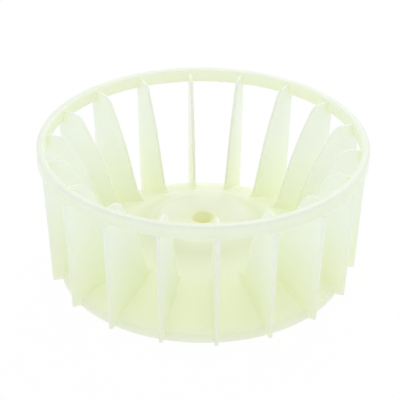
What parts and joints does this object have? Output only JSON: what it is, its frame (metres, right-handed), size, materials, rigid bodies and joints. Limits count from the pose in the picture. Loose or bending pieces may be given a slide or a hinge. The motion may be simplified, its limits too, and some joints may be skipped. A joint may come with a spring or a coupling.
{
  "type": "dryer blower wheel",
  "caption": "One-piece moulded plastic centrifugal blower wheel: straight radial blades between a coned back plate with a bored hub and an open tie ring.",
  "frame": {"origin": "on the bore's axis, at the plane of the rim on which the wheel rests", "axes": "+Z along the bore, from the back plate to the open end with the ring; +X along one of the blades"},
  "size_m": [0.198, 0.198, 0.0852],
  "materials": {
    "natural_plastic": "translucent natural moulded plastic, satin"
  },
  "bodies": {
    "root": {"blower_wheel": "natural_plastic"}
  },
  "joints": []
}
